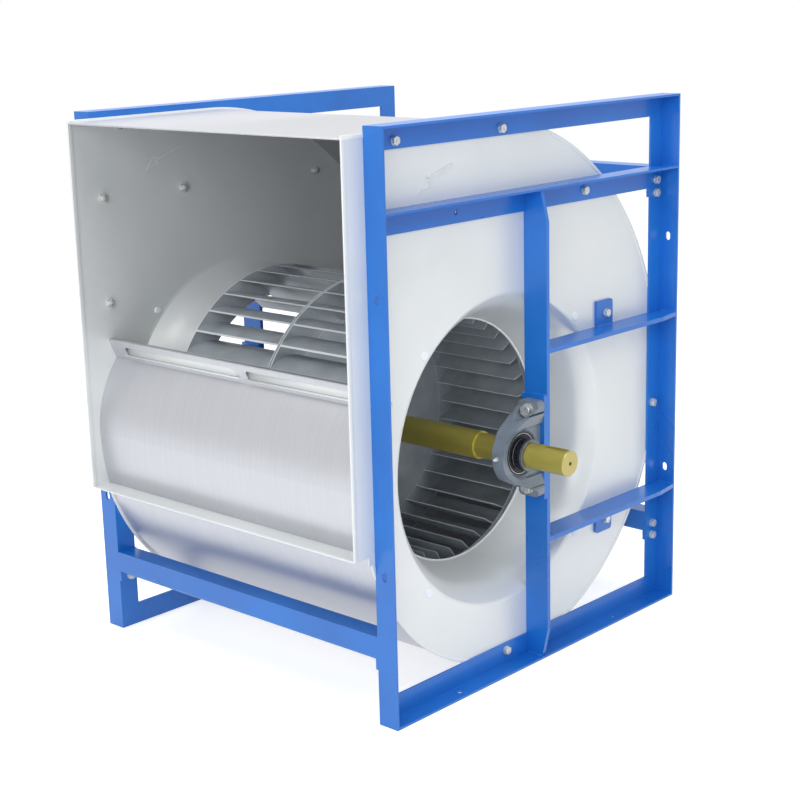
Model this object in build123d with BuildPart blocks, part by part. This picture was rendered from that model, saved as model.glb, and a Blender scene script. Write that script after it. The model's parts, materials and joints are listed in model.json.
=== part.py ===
from build123d import *
from math import acos, asin, atan2, cos, degrees, hypot, radians, sin, sqrt
import os

os.makedirs("parts", exist_ok=True)

# Frame of the machine: X along the shaft, -Y out of the outlet, Z up, floor at z = 0.
# The origin is the centre of the four floor bolts, so the frame's front face is at -FRAME_DEPTH / 2.

# Angle-iron side frames
FRAME_DEPTH = 994.0
FRAME_HEIGHT = 1208.0
ANGLE_LEG = 50.0
ANGLE_THICK = 5.0
CASING_HALF = 416.5
SECOND_RAIL_TOP = 1045.0
FLOOR_BOLT_SPACING_Y = 557.0
FLOOR_BOLT_OFFSET = 27.5
FLOOR_BOLT_HOLE = 14.0
POST_SLOT_HEIGHTS = (323.0, 881.0)
POST_SLOT_LENGTH = 20.0
POST_SLOT_WIDTH = 13.0
POST_SLOT_OFFSET = 24.5

# Bearing strut and the two flat stays behind it
STRUT_BACK = 481.5
STRUT_THICK = 10.0
STRUT_WIDTH = 60.0
STRUT_TAPER = 66.0
STRUT_END_WIDTH = 45.0
STAY_THICK = 10.0
UPPER_STAY_TOP = 704.0
LOWER_STAY_TOP = 284.0
STAY_CHAMFER_RUN = 66.0
LUG_BACK = 766.0
LUG_WIDTH = 62.0
LUG_THICK = 6.0
LUG_CORNER_R = 8.0
UPPER_LUG_HEIGHT = 58.0
LOWER_LUG_DROP = 59.0
PAD_THICK = 10.0
PAD_HEIGHT = 230.0

# Cross-members: bent channels with bolted end plates
CROSS_THICK = 4.0
CROSS_BEND = 7.0
CROSS_DEPTH = 46.0
END_PLATE_THICK = 6.0
CROSS_HEIGHT = 51.0
CROSS_PLATE_DROP = 20.0
CROSS_BOLT_RISES = (-11.0, 19.0)
FRONT_CROSS_LOW = 139.0
REAR_LOWER_CROSS_LOW = 164.0
REAR_UPPER_CROSS_LOW = 994.0
FRONT_CROSS_BOLT_BACK = 27.0
REAR_CROSS_BOLT_BACK = 967.0

# Bolts that hold the casing: distances behind the frame's front face, and heights
TOP_RAIL_BOLTS = ((81, 1174), (403, 1173))
SECOND_RAIL_BOLTS = ((689, 1017),)
SPARE_HOLE = ((258, 1017),)
FRONT_POST_BOLTS = ((24, 1017), (24, 779), (40, 663))
REAR_POST_BOLTS = ((962, 485),)
BOTTOM_RAIL_BOLTS = ((403, 34),)
LUG_BOLTS = ((771, 732), (774, 243))

# Shaft axis
SHAFT_BACK = 410.0
SHAFT_HEIGHT = 489.5

# Casing: the volute is three arcs, tangent where they meet, and a flat top
SHEET = 1.5
SEAM = 5.0
OUTLET_FRONT = -58.0
OUTLET_BOTTOM = 362.0
NOSE_ARC_CENTRE_BACK = 219.0
NOSE_ARC_HEIGHT = 489.0
NOSE_ARC_R = 247.0
NOSE_ANGLE = 139.0
LOW_ARC_R = 475.0
LOW_ARC_BACK = 442.0
REAR_ARC_R = 545.0
TOP_ARC_R = 634.0

# Tongue nose and outlet lip
TONGUE_TIP_BACK = 12.5
TONGUE_TIP_HEIGHT = 697.0
TONGUE_TOP_WIDTH = 14.0
TONGUE_TOP_RISE = 2.0
TONGUE_HEM = 12.0
TONGUE_BEND_R = 3.0
TONGUE_SLOTS = ((-367.0, 6.0), (35.0, 400.0))
TONGUE_SLOT_HEIGHT = 20.0
SEAM_STEP_BACK = -17.0
SEAM_STEP_HEIGHT = 344.0

# Inlet bell pressed into each side plate
BELL_EDGE_R = 344.0
BELL_BEND_R = 15.0
BELL_SLOPE = 33.0
BELL_KNEE_X = 352.0
BELL_KNEE_R = 295.0
BELL_THROAT_X = 279.0
BELL_THROAT_R = 269.0
BELL_BULGE = 5.5
PLUG_PCD_R = 355.5
PLUG_COUNT = 4
PLUG_R = 10.0
PLUG_HEAD = 3.0
PLUG_DOME_R = 1.8
PLUG_STEM_R = 7.5
PLUG_STEM = 6.0

# Double wheel
WHEEL_R = 337.0
BLADE_INNER_R = 260.0
BLADE_COUNT = 37
BLADE_ENTRY = 12.3
BLADE_ARC_R = 86.2
BLADE_SWEEP = 74.0
BLADE_PHASE = 19.0
BLADE_THICK = 1.5
RING_OUTER_X = 274.0
RING_INNER_X = 258.5
RING_INNER_R = 279.0
RING_THICK = 2.5
BLADE_CORNER_X = 247.0
BACK_PLATE_R = 339.0
BACK_PLATE_X = 2.0
BACK_PLATE_THICK = 2.0
BACK_PLATE_FLAT_R = 130.0
BACK_PLATE_DISH_RUN = 15.0
HUB_FLANGE_HALF = 5.0
HUB_FLANGE_R = 100.0
HUB_R = 52.0
HUB_HALF_LENGTH = 55.0
HUB_BOLT_R = 77.0
HUB_BOLT_COUNT = 8
HUB_KEY_LENGTH = 90.0
HUB_KEY_WIDTH = 18.0
HUB_KEY_HEIGHT = 11.0
HUB_KEY_SEAT = 7.0
HUB_KEY_GAP = 0.4
HUB_CHAMFER = 1.5

# Shaft
SHAFT_R = 27.5
SHAFT_MID_R = 31.0
SHAFT_SHOULDER_X = 352.0
SHAFT_DRIVE_END = 592.0
SHAFT_FREE_END = -506.0
SHAFT_CHAMFER = 2.0
DRIVE_KEYWAY_WIDTH = 16.0
DRIVE_KEYWAY_DEPTH = 6.0
DRIVE_KEYWAY_LENGTH = 70.0
DRIVE_KEYWAY_END_GAP = 6.0
CENTRE_HOLE_R = 4.25
CENTRE_HOLE_DEPTH = 28.0
RELIEF_WIDTH = 2.0
RELIEF_DEPTH = 0.5

# Pillow-block bearings with wide inner rings, for a 55 mm shaft
BEARING_X = CASING_HALF + 34.0
BLOCK_CENTRE_HEIGHT = 61.5
BLOCK_LENGTH = 212.0
BLOCK_FOOT_THICK = 22.0
BLOCK_FOOT_WIDTH = 54.0
BLOCK_FOOT_CORNER_R = 10.0
BLOCK_BODY_R = 65.0
BLOCK_BODY_WIDTH = 30.0
BLOCK_ARM_REACH = 92.0
BLOCK_NECK = 36.0
BLOCK_FLARE = 78.0
BLOCK_POCKET = 56.0
BLOCK_POCKET_TOP = -8.0
BLOCK_BOLT_SPACING = 171.0
BLOCK_SLOT_LENGTH = 24.0
BLOCK_SLOT_PLAY = 1.5
BLOCK_SPOT_FACE_R = 17.0
BLOCK_MOUTH_R = 49.0
BLOCK_MOUTH_CHAMFER = 1.5
SEAT_R = 50.0
OUTER_RING_HALF = 12.5
OUTER_RING_BORE_R = 43.0
INNER_RING_R = 34.5
INNER_RING_LONG = 40.0
INNER_RING_SHORT = 22.2
INNER_RING_CHAMFER = 0.8
BALL_R = 7.144
BALL_PITCH_R = 38.75
BALL_COUNT = 10
GROOVE_CLEARANCE = 0.05
SEAL_X = 9.5
SEAL_THICK = 1.5
SEAL_GAP = 0.3
CAGE_INNER_R = 36.6
CAGE_OUTER_R = 41.0
CAGE_HALF = 7.9
CAGE_POCKET_GAP = 0.15
SET_SCREW_R = 4.0
SET_SCREW_X = 27.0
SET_SCREW_ANGLES = (118.0, 238.0)
SET_SCREW_SINK = 0.5
SET_SCREW_SOCKET = 3.5
NIPPLE_BOSS_R = 7.0
NIPPLE_BOSS_RISE = 2.5
NIPPLE_BOSS_ROOT = 4.0
NIPPLE_STEM_R = 3.0
NIPPLE_STEM = 6.0
NIPPLE_HEX = 9.0
NIPPLE_HEX_HEIGHT = 4.5
NIPPLE_NECK = 4.5
NIPPLE_TAPER = 12.0

# Fasteners: thread radius, width across flats, head, nut, washer, and the thread left past the nut
M16 = {"r": 8.0, "flats": 24.0, "head": 10.0, "nut": 13.0, "washer_r": 15.0, "washer": 3.0, "past": 5.0}
M10 = {"r": 5.0, "flats": 17.0, "head": 6.5, "nut": 8.0, "washer_r": 10.0, "washer": 2.0, "past": 3.0}
HEX_TURNED = 0.06
BOLT_HOLE_PLAY = 0.5


def back(distance):
    # y of a point at this distance behind the front face of the frame
    return distance - FRAME_DEPTH / 2


FRONT_Y = back(0)
REAR_Y = back(FRAME_DEPTH)
ROOT_X = CASING_HALF
LEG_X = CASING_HALF + ANGLE_THICK
TOE_X = CASING_HALF + ANGLE_LEG
AXIS_Y = back(SHAFT_BACK)
AXIS_Z = SHAFT_HEIGHT
STRUT_Y = back(STRUT_BACK)
PAD_Y = STRUT_Y - PAD_THICK
SHAFT_LINE = Axis((0, AXIS_Y, AXIS_Z), (1, 0, 0))
# Plane whose X is the shaft's direction and whose Y is the distance from the shaft
AXIAL = Plane(origin=(0, AXIS_Y, AXIS_Z), x_dir=(1, 0, 0), z_dir=(0, -1, 0))
SHAFT_SCREW_POINT = (BEARING_X + SET_SCREW_X, AXIS_Y, AXIS_Z)
NIPPLE_SEAT = BLOCK_BODY_R + NIPPLE_BOSS_RISE
HOLE_R = M10["r"] + BOLT_HOLE_PLAY
PAD_HOLE_R = M16["r"] + BOLT_HOLE_PLAY


def across(x):
    # upright plane across the shaft, centred on it, with Y and Z as its own axes
    return Plane(origin=(x, AXIS_Y, AXIS_Z), x_dir=(0, 1, 0), z_dir=(1, 0, 0))


def keep(builder, name):
    builder.part.label = name
    export_step(builder.part, f"parts/{name}.step")


def keep_both(builder, name):
    # the right-hand piece as built, and its mirror image on the left
    keep(builder, "right_" + name)
    with BuildPart() as left:
        add(builder.part)
        mirror(about=Plane.YZ, mode=Mode.REPLACE)
    keep(left, "left_" + name)


def outline(*points):
    # closed straight-sided face in the current sketch
    Polygon(*points, align=None)


def hexagon(seat, size, height):
    # bolt head or nut on a seat plane, the corners of its free end turned off
    corner_r = size["flats"] / sqrt(3)
    with BuildPart() as turned:
        with BuildSketch(seat):
            Circle(corner_r)
        extrude(amount=height)
        free_end = edges().sort_by(Axis(seat.origin, seat.z_dir))[-1]
        chamfer(free_end, size["flats"] * HEX_TURNED, size["flats"] * 2 * HEX_TURNED)
        with BuildSketch(seat):
            RegularPolygon(size["flats"] / 2, 6, major_radius=False)
        extrude(amount=height, mode=Mode.INTERSECT)
    return turned.part


def hex_bolt(seat, size, grip):
    # head and washer on the seat plane's front, shank through the grip, washer and nut behind
    far_side = Plane(origin=seat.offset(-grip).origin, x_dir=seat.x_dir, z_dir=-seat.z_dir)
    with BuildPart() as bolt:
        for side in (seat, far_side):
            with BuildSketch(side):
                Circle(size["washer_r"])
            extrude(amount=size["washer"])
        with BuildSketch(seat):
            Circle(size["r"])
        extrude(amount=-(grip + size["washer"] + size["nut"] + size["past"]))
        add(hexagon(seat.offset(size["washer"]), size, size["head"]))
        add(hexagon(far_side.offset(size["washer"]), size, size["nut"]))
    return bolt.part


def spots(distances_and_heights):
    # points in the YZ plane from distances behind the front face and heights
    return [(back(distance), height) for distance, height in distances_and_heights]


def cross_bolts(channel_low, distance):
    return [(distance, channel_low + rise) for rise in CROSS_BOLT_RISES]


FRONT_CROSS_BOLTS = cross_bolts(FRONT_CROSS_LOW, FRONT_CROSS_BOLT_BACK)
REAR_CROSS_BOLTS = (
    *cross_bolts(REAR_LOWER_CROSS_LOW, REAR_CROSS_BOLT_BACK),
    *cross_bolts(REAR_UPPER_CROSS_LOW, REAR_CROSS_BOLT_BACK),
)
RAIL_AND_POST_BOLTS = (
    *TOP_RAIL_BOLTS, *SECOND_RAIL_BOLTS, *FRONT_POST_BOLTS, *REAR_POST_BOLTS, *BOTTOM_RAIL_BOLTS
)


# Side frames. Each member is an angle with one leg against the casing; the corners are mitred.
def post_section(front):
    # angle section seen from above: one leg on the casing, one across at the frame's end
    inward = 1 if front else -1
    end = FRONT_Y if front else REAR_Y
    outline(
        (ROOT_X, end),
        (TOE_X, end),
        (TOE_X, end + inward * ANGLE_THICK),
        (LEG_X, end + inward * ANGLE_THICK),
        (LEG_X, end + inward * ANGLE_LEG),
        (ROOT_X, end + inward * ANGLE_LEG),
    )


def post(front, holes):
    inward = 1 if front else -1
    end = FRONT_Y if front else REAR_Y
    with BuildPart() as built:
        with BuildSketch(Plane.XY):
            post_section(front)
        extrude(amount=FRAME_HEIGHT)
        split(bisect_by=Plane(origin=(0, end, 0), z_dir=(0, -inward, 1)), keep=Keep.TOP)
        split(bisect_by=Plane(origin=(0, end, FRAME_HEIGHT), z_dir=(0, -inward, -1)), keep=Keep.TOP)
        with BuildSketch(Plane.YZ.offset(ROOT_X)):
            with Locations(*spots(holes)):
                Circle(HOLE_R)
        extrude(amount=ANGLE_THICK, mode=Mode.SUBTRACT)
        with BuildSketch(Plane.XZ.offset(-end)):
            for height in POST_SLOT_HEIGHTS:
                with Locations((ROOT_X + POST_SLOT_OFFSET, height)):
                    SlotOverall(POST_SLOT_LENGTH, POST_SLOT_WIDTH, rotation=90)
        extrude(amount=-inward * ANGLE_THICK, mode=Mode.SUBTRACT)
    return built


keep_both(post(True, (*FRONT_POST_BOLTS, *FRONT_CROSS_BOLTS)), "front_post")
keep_both(post(False, (*REAR_POST_BOLTS, *REAR_CROSS_BOLTS)), "rear_post")


def end_rail(top, holes):
    # rail along Y at the floor or at the top of the frame
    face = FRAME_HEIGHT if top else 0
    inward = -1 if top else 1
    with BuildPart() as built:
        with BuildSketch(Plane.XZ.offset(-FRONT_Y)):
            outline(
                (ROOT_X, face),
                (TOE_X, face),
                (TOE_X, face + inward * ANGLE_THICK),
                (LEG_X, face + inward * ANGLE_THICK),
                (LEG_X, face + inward * ANGLE_LEG),
                (ROOT_X, face + inward * ANGLE_LEG),
            )
        extrude(amount=-FRAME_DEPTH)
        split(bisect_by=Plane(origin=(0, FRONT_Y, face), z_dir=(0, 1, -inward)), keep=Keep.TOP)
        split(bisect_by=Plane(origin=(0, REAR_Y, face), z_dir=(0, -1, -inward)), keep=Keep.TOP)
        with BuildSketch(Plane.YZ.offset(ROOT_X)):
            with Locations(*spots(holes)):
                Circle(HOLE_R)
        extrude(amount=ANGLE_THICK, mode=Mode.SUBTRACT)
        if not top:
            with BuildSketch(Plane.XY):
                with Locations((ROOT_X + FLOOR_BOLT_OFFSET, 0)):
                    with GridLocations(0, FLOOR_BOLT_SPACING_Y, 1, 2):
                        Circle(FLOOR_BOLT_HOLE / 2)
            extrude(amount=ANGLE_THICK, mode=Mode.SUBTRACT)
    return built


keep_both(end_rail(True, TOP_RAIL_BOLTS), "top_rail")
keep_both(end_rail(False, BOTTOM_RAIL_BOLTS), "bottom_rail")

with BuildPart() as second_rail:
    # its upright leg stops at the posts' legs, its flat leg runs over them to the posts' cross legs
    with BuildSketch(Plane.YZ.offset(ROOT_X)):
        with Locations((0, SECOND_RAIL_TOP - ANGLE_LEG / 2)):
            Rectangle(FRAME_DEPTH - 2 * ANGLE_LEG, ANGLE_LEG)
    extrude(amount=ANGLE_THICK)
    with BuildSketch(Plane.XY.offset(SECOND_RAIL_TOP - ANGLE_THICK)):
        with Locations(((LEG_X + TOE_X) / 2, 0)):
            Rectangle(TOE_X - LEG_X, FRAME_DEPTH - 2 * ANGLE_THICK)
    extrude(amount=ANGLE_THICK)
    with BuildSketch(Plane.YZ.offset(ROOT_X)):
        with Locations(*spots(SECOND_RAIL_BOLTS + SPARE_HOLE)):
            Circle(HOLE_R)
    extrude(amount=ANGLE_THICK, mode=Mode.SUBTRACT)
keep_both(second_rail, "second_rail")

# Bearing strut: a flat bar on edge, wider than the rails, so its outer corners taper to them
STRUT_TOP = SECOND_RAIL_TOP - ANGLE_THICK
STRUT_X = ROOT_X + STRUT_WIDTH
STRUT_END_X = ROOT_X + STRUT_END_WIDTH

with BuildPart() as bearing_strut:
    with BuildSketch(Plane.XZ.offset(-STRUT_Y)):
        outline(
            (LEG_X, ANGLE_THICK),
            (STRUT_END_X, ANGLE_THICK),
            (STRUT_X, ANGLE_THICK + STRUT_TAPER),
            (STRUT_X, STRUT_TOP - STRUT_TAPER),
            (STRUT_END_X, STRUT_TOP),
            (LEG_X, STRUT_TOP),
            (LEG_X, SECOND_RAIL_TOP - ANGLE_LEG),
            (ROOT_X, SECOND_RAIL_TOP - ANGLE_LEG),
            (ROOT_X, ANGLE_LEG),
            (LEG_X, ANGLE_LEG),
        )
        with Locations((BEARING_X, AXIS_Z)):
            with GridLocations(0, BLOCK_BOLT_SPACING, 1, 2):
                Circle(PAD_HOLE_R, mode=Mode.SUBTRACT)
    extrude(amount=-STRUT_THICK)
keep_both(bearing_strut, "bearing_strut")

with BuildPart() as bearing_pad:
    with BuildSketch(Plane.XZ.offset(-STRUT_Y)):
        with Locations((ROOT_X + STRUT_WIDTH / 2, AXIS_Z)):
            Rectangle(STRUT_WIDTH, PAD_HEIGHT)
        with Locations((BEARING_X, AXIS_Z)):
            with GridLocations(0, BLOCK_BOLT_SPACING, 1, 2):
                Circle(PAD_HOLE_R, mode=Mode.SUBTRACT)
    extrude(amount=PAD_THICK)
keep_both(bearing_pad, "bearing_pad")

# Stays: flat bars laid level between the strut and the rear post, each with a lug bolted to the casing
STAY_FRONT_Y = STRUT_Y + STRUT_THICK
STAY_REAR_Y = REAR_Y - ANGLE_THICK


def stay(top, lug_low, lug_high, lug_bolt):
    with BuildPart() as built:
        with BuildSketch(Plane.XY.offset(top - STAY_THICK)):
            outline(
                (ROOT_X, STAY_FRONT_Y),
                (STRUT_X, STAY_FRONT_Y),
                (STRUT_X, STAY_REAR_Y - STAY_CHAMFER_RUN),
                (TOE_X, STAY_REAR_Y),
                (LEG_X, STAY_REAR_Y),
                (LEG_X, REAR_Y - ANGLE_LEG),
                (ROOT_X, REAR_Y - ANGLE_LEG),
            )
        extrude(amount=STAY_THICK)
        with BuildSketch(Plane.YZ.offset(ROOT_X)):
            with Locations((back(LUG_BACK), (lug_low + lug_high) / 2)):
                Rectangle(LUG_WIDTH, lug_high - lug_low)
            by_height = vertices().sort_by(Axis.Z)
            fillet(by_height[-2:] if lug_high > top else by_height[:2], LUG_CORNER_R)
            with Locations(*spots([lug_bolt])):
                Circle(HOLE_R, mode=Mode.SUBTRACT)
        extrude(amount=LUG_THICK)
    return built


UPPER_LUG_TOP = UPPER_STAY_TOP + UPPER_LUG_HEIGHT
LOWER_STAY_UNDERSIDE = LOWER_STAY_TOP - STAY_THICK
LOWER_LUG_LOW = LOWER_STAY_UNDERSIDE - LOWER_LUG_DROP
keep_both(stay(UPPER_STAY_TOP, UPPER_STAY_TOP, UPPER_LUG_TOP, LUG_BOLTS[0]), "upper_stay")
keep_both(stay(LOWER_STAY_TOP, LOWER_LUG_LOW, LOWER_STAY_UNDERSIDE, LUG_BOLTS[1]), "lower_stay")


# Cross-members between the two side frames: a channel with its web to the front, a plate on each end
def cross_member(end_y, channel_low, bolt_back):
    bolts = cross_bolts(channel_low, bolt_back)
    middle = channel_low + CROSS_HEIGHT / 2
    inner_height = CROSS_HEIGHT - 2 * CROSS_THICK
    inner_half = CASING_HALF - END_PLATE_THICK
    with BuildPart() as built:
        with BuildSketch(Plane.YZ.offset(-inner_half)):
            with Locations((end_y + CROSS_DEPTH / 2, middle)):
                Rectangle(CROSS_DEPTH, CROSS_HEIGHT)
            fillet(vertices().sort_by(Axis.Y)[:2], CROSS_BEND)
            with Locations((end_y + CROSS_THICK, middle)):
                Rectangle(CROSS_DEPTH, inner_height, align=(Align.MIN, Align.CENTER), mode=Mode.SUBTRACT)
        extrude(amount=2 * inner_half)
        web_inside = faces().filter_by(Axis.Y).sort_by(Axis.Y)[1]
        fillet(web_inside.edges().filter_by(Axis.X), CROSS_BEND - CROSS_THICK)
        for inner_x in (-CASING_HALF, inner_half):
            with BuildSketch(Plane.YZ.offset(inner_x)):
                with Locations((end_y + ANGLE_LEG / 2, channel_low + CROSS_HEIGHT)):
                    Rectangle(ANGLE_LEG, CROSS_HEIGHT + CROSS_PLATE_DROP, align=(Align.CENTER, Align.MAX))
                with Locations(*spots(bolts)):
                    Circle(HOLE_R, mode=Mode.SUBTRACT)
            extrude(amount=END_PLATE_THICK)
    return built


REAR_PLATE_Y = REAR_Y - ANGLE_LEG
keep(cross_member(FRONT_Y, FRONT_CROSS_LOW, FRONT_CROSS_BOLT_BACK), "front_cross_member")
keep(cross_member(REAR_PLATE_Y, REAR_LOWER_CROSS_LOW, REAR_CROSS_BOLT_BACK), "rear_lower_cross_member")
keep(cross_member(REAR_PLATE_Y, REAR_UPPER_CROSS_LOW, REAR_CROSS_BOLT_BACK), "rear_upper_cross_member")

# Volute: centres of its arcs, each tangent to the next; the sheet runs one seam's width inside them
LOW_CENTRE = (back(LOW_ARC_BACK), NOSE_ARC_HEIGHT)
VOLUTE_BOTTOM = NOSE_ARC_HEIGHT - LOW_ARC_R
REAR_CENTRE = (LOW_CENTRE[0], VOLUTE_BOTTOM + REAR_ARC_R)
VOLUTE_REAR = REAR_CENTRE[0] + REAR_ARC_R
TOP_CENTRE = (VOLUTE_REAR - TOP_ARC_R, REAR_CENTRE[1])
VOLUTE_TOP = TOP_CENTRE[1] + TOP_ARC_R
NOSE_CENTRE = (back(NOSE_ARC_CENTRE_BACK), NOSE_ARC_HEIGHT)
OUTLET_Y = back(OUTLET_FRONT)
SHEET_HALF = CASING_HALF - SHEET
SHEET_TOP = VOLUTE_TOP - SEAM


def on_arc(centre, radius, angle):
    return (centre[0] + radius * cos(radians(angle)), centre[1] + radius * sin(radians(angle)))


def volute(inset, start_angle):
    # from a point on the low front arc round the bottom, the rear and the top, then level to the outlet
    CenterArc(LOW_CENTRE, LOW_ARC_R - inset, start_angle, 270 - start_angle)
    CenterArc(REAR_CENTRE, REAR_ARC_R - inset, 270, 90)
    CenterArc(TOP_CENTRE, TOP_ARC_R - inset, 0, 90)
    Line((TOP_CENTRE[0], VOLUTE_TOP - inset), (OUTLET_Y, VOLUTE_TOP - inset))


def scroll_face(inset):
    # the sheet's run at an inset, from the tongue round to the outlet
    CenterArc(NOSE_CENTRE, NOSE_ARC_R + SEAM - inset, NOSE_ANGLE, 180 - NOSE_ANGLE)
    volute(inset, 180)


TONGUE_ROOT = on_arc(NOSE_CENTRE, NOSE_ARC_R, NOSE_ANGLE)
TONGUE_ROOT_INNER = on_arc(NOSE_CENTRE, NOSE_ARC_R - SHEET, NOSE_ANGLE)

with BuildPart() as scroll_sheet:
    with BuildSketch(Plane.YZ.offset(-SHEET_HALF)):
        with BuildLine():
            scroll_face(SEAM)
            Line((OUTLET_Y, SHEET_TOP), (OUTLET_Y, SHEET_TOP - SHEET))
            scroll_face(SEAM + SHEET)
            Line(TONGUE_ROOT_INNER, TONGUE_ROOT)
        make_face()
    extrude(amount=2 * SHEET_HALF)
keep(scroll_sheet, "scroll_sheet")

# Tongue nose: a strip bent forward from the end of the scroll, over at the top and down behind
with BuildPart() as tongue_nose:
    tongue_tip = (back(TONGUE_TIP_BACK), TONGUE_TIP_HEIGHT)
    tongue_rear = (tongue_tip[0] + TONGUE_TOP_WIDTH, TONGUE_TIP_HEIGHT + TONGUE_TOP_RISE)
    tongue_hem = (tongue_rear[0], tongue_rear[1] - TONGUE_HEM)
    with BuildSketch(Plane.YZ.offset(-SHEET_HALF)):
        with BuildLine():
            strip = FilletPolyline(TONGUE_ROOT, tongue_tip, tongue_rear, tongue_hem, radius=TONGUE_BEND_R)
            offset(amount=SHEET, side=Side.RIGHT)
        make_face()
    extrude(amount=2 * SHEET_HALF)
    lean = Vector(0, tongue_tip[0] - TONGUE_ROOT[0], tongue_tip[1] - TONGUE_ROOT[1])
    face = Plane(
        origin=(0, (tongue_tip[0] + TONGUE_ROOT[0]) / 2, (tongue_tip[1] + TONGUE_ROOT[1]) / 2),
        x_dir=(1, 0, 0),
        z_dir=lean.cross(Vector(1, 0, 0)),
    )
    with BuildSketch(face):
        for low_x, high_x in TONGUE_SLOTS:
            with Locations(((low_x + high_x) / 2, 0)):
                SlotOverall(high_x - low_x, TONGUE_SLOT_HEIGHT)
    extrude(amount=2 * SHEET, both=True, mode=Mode.SUBTRACT)
keep(tongue_nose, "tongue_nose")

with BuildPart() as outlet_lip:
    lip_rise = NOSE_ARC_HEIGHT - OUTLET_BOTTOM - SHEET
    lip_rear = LOW_CENTRE[0] - sqrt((LOW_ARC_R - SEAM) ** 2 - lip_rise**2)
    with BuildSketch(Plane.YZ.offset(-SHEET_HALF)):
        with Locations((OUTLET_Y, OUTLET_BOTTOM)):
            Rectangle(lip_rear - OUTLET_Y, SHEET, align=Align.MIN)
    extrude(amount=2 * SHEET_HALF)
keep(outlet_lip, "outlet_lip")

# Side plates: flat sheet with the volute's outline, and the inlet bell pressed into it
BELL_BEND_END = (
    CASING_HALF - BELL_BEND_R * (1 - cos(radians(BELL_SLOPE))),
    BELL_EDGE_R - BELL_BEND_R * sin(radians(BELL_SLOPE)),
)
SEAM_STEP_ANGLE = 180 + degrees(asin((NOSE_ARC_HEIGHT - SEAM_STEP_HEIGHT) / LOW_ARC_R))
SEAM_STEP_Y = back(SEAM_STEP_BACK)

with BuildPart() as side_plate:
    with BuildSketch(Plane.YZ.offset(SHEET_HALF)):
        with BuildLine():
            volute(0, SEAM_STEP_ANGLE)
            Polyline(
                (OUTLET_Y, VOLUTE_TOP),
                (OUTLET_Y, OUTLET_BOTTOM),
                (SEAM_STEP_Y, OUTLET_BOTTOM),
                (SEAM_STEP_Y, SEAM_STEP_HEIGHT),
                on_arc(LOW_CENTRE, LOW_ARC_R, SEAM_STEP_ANGLE),
            )
        make_face()
        with Locations((AXIS_Y, AXIS_Z)):
            Circle(BELL_EDGE_R, mode=Mode.SUBTRACT)
            with PolarLocations(PLUG_PCD_R, PLUG_COUNT, start_angle=45):
                Circle(PLUG_STEM_R, mode=Mode.SUBTRACT)
        with Locations(*spots(RAIL_AND_POST_BOLTS + SPARE_HOLE + LUG_BOLTS)):
            Circle(HOLE_R, mode=Mode.SUBTRACT)
    extrude(amount=SHEET)
    with BuildSketch(AXIAL):
        with BuildLine():
            RadiusArc((CASING_HALF, BELL_EDGE_R), BELL_BEND_END, BELL_BEND_R)
            SagittaArc(BELL_BEND_END, (BELL_KNEE_X, BELL_KNEE_R), BELL_BULGE)
            Line((BELL_KNEE_X, BELL_KNEE_R), (BELL_THROAT_X, BELL_THROAT_R))
            offset(amount=SHEET, side=Side.RIGHT)
        make_face()
    revolve(axis=SHAFT_LINE)
keep_both(side_plate, "side_plate")

with BuildPart() as inlet_plugs:
    with BuildSketch(across(CASING_HALF)):
        with PolarLocations(PLUG_PCD_R, PLUG_COUNT, start_angle=45):
            Circle(PLUG_R)
    extrude(amount=PLUG_HEAD)
    fillet(edges().group_by(Axis.X)[-1], PLUG_DOME_R)
    with BuildSketch(across(CASING_HALF)):
        with PolarLocations(PLUG_PCD_R, PLUG_COUNT, start_angle=45):
            Circle(PLUG_STEM_R)
    extrude(amount=-PLUG_STEM)
keep_both(inlet_plugs, "inlet_plugs")

# Wheel: two back plates on the hub's flange, blades out to an end ring on each side
BLADE_ROOT_X = BACK_PLATE_X + BACK_PLATE_THICK
DISH_X = HUB_FLANGE_HALF

with BuildPart() as back_plate:
    with BuildSketch(AXIAL):
        outline(
            (DISH_X, HUB_R),
            (DISH_X, HUB_FLANGE_R + BACK_PLATE_DISH_RUN),
            (BACK_PLATE_X, BACK_PLATE_FLAT_R),
            (BACK_PLATE_X, BACK_PLATE_R),
            (BLADE_ROOT_X, BACK_PLATE_R),
            (BLADE_ROOT_X, BACK_PLATE_FLAT_R),
            (DISH_X + BACK_PLATE_THICK, HUB_FLANGE_R + BACK_PLATE_DISH_RUN),
            (DISH_X + BACK_PLATE_THICK, HUB_R),
        )
    revolve(axis=SHAFT_LINE)
    with BuildSketch(across(DISH_X)):
        with PolarLocations(HUB_BOLT_R, HUB_BOLT_COUNT):
            Circle(M10["r"])
    extrude(amount=BACK_PLATE_THICK, mode=Mode.SUBTRACT)
keep_both(back_plate, "back_plate")

with BuildPart() as end_ring:
    with BuildSketch(AXIAL):
        outline(
            (RING_INNER_X, RING_INNER_R),
            (RING_OUTER_X, WHEEL_R),
            (RING_OUTER_X + RING_THICK, WHEEL_R),
            (RING_INNER_X + RING_THICK, RING_INNER_R),
        )
    revolve(axis=SHAFT_LINE)
keep_both(end_ring, "end_ring")

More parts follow.
